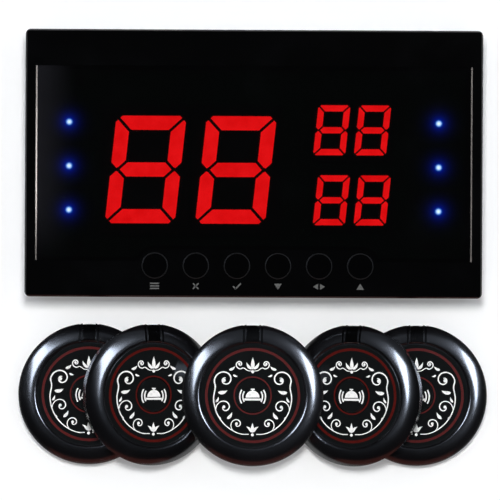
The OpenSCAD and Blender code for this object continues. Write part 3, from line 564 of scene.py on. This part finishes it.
RUN_PITCH = 3.2 * MM
LACQUER, COPPER_UNDER = (0.006, 0.060, 0.022), (0.016, 0.120, 0.045)
board = Finish("board_green", {"IOR": 1.5})
runs = board.node("ShaderNodeTexVoronoi", {"distance": "MANHATTAN", "feature": "F1"},
                  {"Vector": board.place(), "Scale": 1 / RUN_PITCH}).rise(0.36, 0.44)
board.feed("Base Color", board.blend(LACQUER, COPPER_UNDER, runs))
board.feed("Roughness", board.grain(2) * 0.12 + 0.28)
board.relief(runs, depth_mm=0.03)
board.put_on("main_board", "radio_module", *of_bells("board"))
print("backs and insides finished")

# %% [markdown]
# ## Labels and buttons
# A printed film disc lies in the top of each bell, with the call button in its middle. Both are a
# shade greyer than the shell, with a fine weave, and the grey varies a little from place to place.

# %% Finish the films
FILM_DARK, FILM_PALE = (0.0040, 0.0046, 0.0050), (0.0065, 0.0075, 0.0080)
film = Finish("label_black", {"IOR": 1.5})
weave = film.grain(0.8, detail=3)
film.feed("Base Color", film.blend(FILM_DARK, FILM_PALE, film.grain(9, detail=3)))
film.feed("Roughness", weave * 0.04 + 0.08)
film.relief(weave, depth_mm=0.006)
film.put_on(*of_bells("label", "button"))
print("films finished:", len(of_bells("label", "button")))

# %% [markdown]
# ## Ink as ribbons
# Print has an edge and a thickness, even if only a few hundredths of a millimetre, so each mark is
# a thin solid and not a picture. Every mark here is one kind of shape: a ribbon along a line,
# whose width changes on the way. A leaf is a short ribbon that swells, and a dot is a ribbon as
# wide as a circle is. All measures of the print are in millimetres.

# %% Draw lines and ribbons
THINNEST = 0.02
CUTS = [i / 12 for i in range(13)]


def polar(r, angle):
    return Vector((r * math.cos(angle), r * math.sin(angle)))


def through(points, steps=5):
    """A smooth line through the points, by Catmull-Rom curves."""
    p = [Vector(q) for q in points]
    p = [2 * p[0] - p[1], *p, 2 * p[-1] - p[-2]]
    line = []
    for a, b, c, d in zip(p, p[1:], p[2:], p[3:]):
        for i in range(steps):
            t = i / steps
            line.append(0.5 * (2 * b + (c - a) * t + (2 * a - 5 * b + 4 * c - d) * t * t
                               + (3 * b - a - 3 * c + d) * t ** 3))
    return [*line, p[-2]]


def curl(centre, start, turns, end_r, steps=20):
    """Points of a spiral that starts at a point and winds in round the centre."""
    centre, start = Vector(centre), Vector(start)
    arm = start - centre
    angle = math.atan2(arm.y, arm.x)
    count = int(turns * steps)
    return [centre + polar(arm.length * (end_r / arm.length) ** (i / count),
                           angle + i / count * turns * 2 * math.pi) for i in range(count + 1)]


def ribbon(line, width):
    """A ribbon: its line, and its width at each point from a function of 0 to 1."""
    line = [Vector(p) for p in line]
    return line, [max(width(i / (len(line) - 1)), THINNEST) for i in range(len(line))]


def leaf(at, angle, size, width, bend=0.12):
    a = math.radians(angle)
    along, side = polar(size, a), polar(size * bend, a + math.pi / 2)
    line = [Vector(at) + along * t + side * math.sin(math.pi * t) for t in CUTS]
    return ribbon(line, lambda t: width * math.sin(math.pi * t ** 0.7))


def dot(at, r):
    line = [Vector(at) + Vector((r * math.sin(math.pi * (t - 0.5)), 0)) for t in CUTS]
    return ribbon(line, lambda t: 2 * r * math.cos(math.pi * (t - 0.5)))


def bar(start, end, width):
    return ribbon([start, end], lambda t: width)


def wedge(tip, base, width):
    return ribbon([base, tip], lambda t: width * (1 - t))


def arc(centre, r, start, end, width, steps=14):
    angles = [math.radians(start + (end - start) * i / steps) for i in range(steps + 1)]
    return ribbon([Vector(centre) + polar(r, a) for a in angles], lambda t: width)


print("ribbon tools ready")

# %% [markdown]
# ## Solids from ribbons
# A solid is a row of cuts with four corners each, joined by four faces from cut to cut and closed
# at both ends. Ink is such a row along its ribbon, sunk a little into the face that it is printed
# on, so that no gap shows. `lay` puts a mesh in its place and says which body carries it.

# %% Make solids and lay them
INK_SINK, INK_RISE = 0.02, 0.05


def solid_mesh(name, strips, material):
    """One solid for each strip, which is a row of cuts."""
    points, faces = [], []
    for cuts in strips:
        first, last = len(points), len(points) + 4 * (len(cuts) - 1)
        points += [Vector(corner) * MM for cut in cuts for corner in cut]
        for a in range(first, last, 4):
            faces += [(a + k, a + (k + 1) % 4, a + 4 + (k + 1) % 4, a + 4 + k) for k in range(4)]
        faces += [(first + 3, first + 2, first + 1, first), (last, last + 1, last + 2, last + 3)]
    mesh = bpy.data.meshes.new(name)
    mesh.from_pydata(points, [], faces)
    mesh.update()
    mesh.materials.append(material)
    return mesh


def ink_mesh(name, ribbons, face, material, rise=INK_RISE):
    """One thin solid for each ribbon, on a face at that height."""
    low, high = face - INK_SINK, face + rise
    strips = []
    for line, widths in ribbons:
        last, cuts = len(line) - 1, []
        for i, (p, w) in enumerate(zip(line, widths)):
            ahead = line[min(i + 1, last)] - line[max(i - 1, 0)]
            side = Vector((-ahead.y, ahead.x)).normalized() * w / 2
            left, right = p + side, p - side
            cuts.append([(*left, high), (*right, high), (*right, low), (*left, low)])
        strips.append(cuts)
    return solid_mesh(name, strips, material)


def lay(name, mesh, place, body):
    piece = add(name, mesh)
    piece.matrix_world = place
    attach(piece, body)


print("ink is", INK_RISE, "mm thick")

# %% [markdown]
# ## Inks
# Screen-printed ink is a touch uneven and slightly matt. The white has faint thin spots, the red
# is a deep oxide red that is brighter where the ink is thicker, and the key marks are a soft grey.


# %% Mix the inks
def ink(name, thin, full):
    made = Finish(name, {"Specular IOR Level": 0.06})
    body = made.grain(1.4, detail=4)
    made.feed("Base Color", made.blend(thin, full, body.rise(0.30, 0.52)))
    made.feed("Roughness", body * 0.2 + 0.36)
    made.relief(made.grain(0.25), depth_mm=0.006)
    return made.material


white_ink = ink("ink_white", thin=(0.74, 0.75, 0.75), full=(0.90, 0.90, 0.89))
red_ink = ink("ink_red", thin=(0.052, 0.004, 0.003), full=(0.072, 0.006, 0.005))
grey_ink = ink("ink_grey", thin=(0.065, 0.065, 0.063), full=(0.095, 0.095, 0.092))
print("inks:", white_ink.name, red_ink.name, grey_ink.name)

# %% [markdown]
# ## Where each bell stands
# Two of the bells lean, so print is drawn flat and then carried to each bell. The joint of a
# bell's button gives the bell's upright, and the middle of its label gives its place: 11 mm up
# that line.

# %% Find each bell's own axes
LABEL_MIDDLE = 11.0 * MM
press = {j["name"]: Vector(j["axis"]).normalized() for j in frame["joints"]}
bell_at = {}
for b in BELLS:
    up = -press[f"bell_{b}_press"]
    side = Vector((0, 1, 0)).cross(up).normalized()
    turn = Matrix((side, up.cross(side), up)).transposed().to_4x4()
    bell_at[b] = Matrix.Translation(middle(f"bell_{b}_label") - up * LABEL_MIDDLE) @ turn
    print("bell", b, "leans", round(math.degrees(math.atan2(up.x, up.z)), 2), "degrees")

# %% [markdown]
# ## Label print
# Two red rings frame the label, and white scrollwork fills it. The scrolls are a plain traditional
# pattern, drawn for one side and mirrored: a stem that climbs along the ring and winds into a
# curl, with smaller curls and leaves off it, and a bud at the top and the bottom.


# %% Draw the label's print
def stem(width):
    """Width of a stem along its way: it swells from a thin start and thins out again."""
    return lambda t: width * (0.35 + 0.65 * math.sin(math.pi * min(1, 0.12 + 0.8 * t)))


LABEL_TOP = 11.2
RINGS = (24.55, 1.4), (9.8, 0.8)
RED_RISE = 0.06

climb = [(2.0, -20.6), (6.2, -20.4), (11.0, -18.4), (15.8, -14.4), (19.3, -8.6), (20.7, -1.8)]
side_curl = curl((14.6, 8.2), (19.8, 4.2), 1.45, 1.0)
bud_stem = [(0.7, 13.0), (2.6, 13.2)]
bud_curl = curl((6.9, 16.6), (4.9, 14.6), 1.3, 0.6)
half = [
    ribbon(through(climb + side_curl[::2]), stem(0.74)),
    ribbon(curl((14.7, -6.4), (19.2, -9.2), 1.35, 0.8), stem(0.66)),
    ribbon(curl((8.1, -15.2), (9.9, -19.0), 1.3, 0.7), stem(0.62)),
    ribbon(through(bud_stem + bud_curl[::2]), stem(0.62)),
    dot((15.3, 8.0), 1.0), dot((15.2, -6.1), 0.8),
    dot((8.5, -15.0), 0.75), dot((7.2, 16.7), 0.65),
    leaf((18.4, 1.6), 168, 5.2, 1.9), leaf((19.6, -3.6), 118, 3.2, 1.1),
    leaf((13.6, -12.4), 128, 4.4, 1.6), leaf((12.6, 13.6), 150, 3.8, 1.4),
    leaf((17.0, -13.2), 60, 2.6, 1.0), leaf((10.4, 11.0), 200, 2.6, 1.0),
    leaf((0.5, -19.6), 48, 4.2, 1.4), leaf((0.5, 14.0), 52, 4.6, 1.5, bend=-0.12),
]
mirrored = [([Vector((-p.x, p.y)) for p in reversed(line)], widths[::-1])
            for line, widths in half]
middles = [leaf((0, -19.8), 90, 5.2, 1.7, bend=0), leaf((0, 13.8), 90, 6.4, 2.0, bend=0),
           dot((0, 12.6), 0.8), dot((0, -20.9), 0.8)]
circles = [arc((0, 0), r, 0, 360, width, steps=96) for r, width in RINGS]
scrolls = ink_mesh("scrolls", half + mirrored + middles, LABEL_TOP, white_ink)
rings = ink_mesh("rings", circles, LABEL_TOP, red_ink, rise=RED_RISE)
print("scrollwork:", len(half) * 2 + len(middles), "marks,", len(scrolls.polygons), "faces")

# %% [markdown]
# ## Button mark
# The button carries a plain picture of a counter bell: a dome on a plate with a knob, and two
# sound lines at each side. It rides on the button, so it goes down with it.

# %% Draw the counter bell and lay all print on the bells
BUTTON_TOP = 11.6
DOME_R, DOME_FOOT = 3.7, -1.1
dome = ribbon([(0, DOME_FOOT + DOME_R * math.sin(math.pi / 2 * t)) for t in CUTS],
              lambda t: 2 * DOME_R * math.cos(math.pi / 2 * t))
plate = bar((-4.4, -2.1), (4.4, -2.1), 1.1)
knob = [bar((0, 2.4), (0, 3.1), 0.8), bar((-1.0, 3.3), (1.0, 3.3), 0.7)]
sound = [arc((0, -0.6), r, bearing - 32, bearing + 32, 0.75)
         for bearing in (0, 180) for r in (5.2, 6.8)]
call_mark = ink_mesh("call_mark", [dome, plate, *knob, *sound], BUTTON_TOP, white_ink)

for b, place in bell_at.items():
    lay(f"bell_{b}_scrolls", scrolls, place, "set")
    lay(f"bell_{b}_rings", rings, place, "set")
    lay(f"bell_{b}_call_mark", call_mark, place, f"bell_{b}_button")
print("print laid on", len(bell_at), "bells")

# %% [markdown]
# ## Dark groove bars
# A narrow dark bar of the lens's smoked plastic lies in the groove at each side of a bell's lamp,
# as painted shade: a dark solid where the groove would only be in shade. It follows the rim: level
# over the crest, round the outer slope and down the side. A bell is round, so a point that is r
# from its middle and u to the side of it lies at the square root of r² - u².

# %% Bend the dark groove bars over the rims
BELL_R, BELL_H = 37.6, 12.6
CREST_R, SLOPE_R = 29.2, 11.5
BAR_START_R, BAR_DROP, BAR_DRAFT = 28.5, 2.7, 0.5
BAR_U, BAR_W = 4.8, 0.9
BAR_TOP, BAR_FOOT = 0.2, 0.52


def over_rim(depth, steps=16):
    """Distance from the middle and height of points that far below the rim, from inside to side."""
    r = SLOPE_R - depth
    end = math.asin((BELL_R - depth - CREST_R) / r)
    line = [(BAR_START_R, BELL_H - depth)]
    for i in range(steps + 1):
        tilt = end * i / steps
        line.append((CREST_R + r * math.sin(tilt), BELL_H - SLOPE_R + r * math.cos(tilt)))
    return [*line, (line[-1][0] - BAR_DRAFT, line[-1][1] - BAR_DROP)]


def on_bell(u, r, z):
    return u, math.sqrt(r * r - u * u), z


# The bars are dark solids put in the grooves as painted shade.
bars = []
for u in (-BAR_U, BAR_U):
    left, right = u - BAR_W / 2, u + BAR_W / 2
    bars.append([[on_bell(left, *top), on_bell(right, *top),
                  on_bell(right, *foot), on_bell(left, *foot)]
                 for top, foot in zip(over_rim(BAR_TOP), over_rim(BAR_FOOT))])
groove_shade_bars = solid_mesh("groove_shade_bars", bars, lens.material)
for b, place in bell_at.items():
    lay(f"bell_{b}_groove_shade_bars", groove_shade_bars, place, "set")
print("groove shade bars:", len(bars), "on each bell,", len(groove_shade_bars.polygons), "faces")

# %% [markdown]
# ## Strips for the leaning bells
# A leaning bell mirrors the two strips at other places of its rim than a level one does. Each of
# the two therefore gets a strip of its own for the side that its neighbour leaves in view, hung
# where its rim shows the streak as a level bell does, and Blender's light linking keeps the shared
# strips off it. A mirror shows what lies along the ray that its normal turns back, so the normal
# that belongs to a streak is tilted with the bell and then mirrored again.

# %% Hang a strip for each leaning bell
UP = Vector((0, 0, 1))
TOP_PIECES = ("housing", "label", "button", "lens", "groove_shade_bars", "rings", "scrolls", "call_mark")
LEANING = (2, LEFT_ENDS, LEFT_STRIP), (4, RIGHT_ENDS, RIGHT_STRIP)


def seen_from_above(place, tilt):
    """Where to hang a lamp for a tilted rim to show it as a level rim shows one at this place."""
    normal = tilt @ (place.normalized() + UP).normalized()
    return (2 * normal.z * normal - UP) * place.length


def link(lamp, names, state):
    """Lights only these pieces with a lamp, or all but these."""
    pieces = bpy.data.collections.new(f"{lamp.name}_pieces")
    for name in names:
        pieces.objects.link(bpy.data.objects[name])
    for entry in pieces.collection_objects:
        entry.light_linking.link_state = state
    lamp.light_linking.receiver_collection = pieces


tops = [f"bell_{b}_{piece}" for b, _, _ in LEANING for piece in TOP_PIECES]
for lamp in (strip_left, strip_right):
    link(lamp, tops, "EXCLUDE")
for b, ends, look in LEANING:
    tilt = bell_at[b].to_3x3()
    strip = softbox(f"strip_{b}", *[seen_from_above(end, tilt) for end in ends], **look)
    link(strip, [f"bell_{b}_housing"], "INCLUDE")

# %% [markdown]
# ## Key marks
# Under each key stands a small grey mark for what it does: list, leave, confirm, down, move and
# up. They lie on the face of the frame, centred below their keys.

# %% Draw and lay the key marks
MARK_DROP = 10.8 * MM
key_marks = {
    "list": [bar((-2.4, v), (2.4, v), 0.75) for v in (-1.35, 0, 1.35)],
    "leave": [bar((-1.5, -1.5), (1.5, 1.5), 0.75), bar((-1.5, 1.5), (1.5, -1.5), 0.75)],
    "confirm": [bar((-2.0, 0.1), (-0.6, -1.5), 0.8), bar((-0.85, -1.5), (2.2, 1.6), 0.8)],
    "down": [wedge((0, -1.7), (0, 1.5), 4.0)],
    "move": [wedge((-3.1, 0), (-0.5, 0), 3.2), wedge((3.1, 0), (0.5, 0), 3.2)],
    "up": [wedge((0, 1.7), (0, -1.5), 4.0)],
}
face_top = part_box("front_frame")[1].z / MM
for k, (key, shapes) in enumerate(zip(KEYS, key_marks.values()), 1):
    mesh = ink_mesh(f"key_mark_{k}", shapes, face_top, grey_ink)
    at = middle(key)
    place = Matrix.Translation((at.x, at.y - MARK_DROP, 0))
    lay(f"key_mark_{k}", mesh, place, "set")
print("key marks laid:", ", ".join(key_marks))
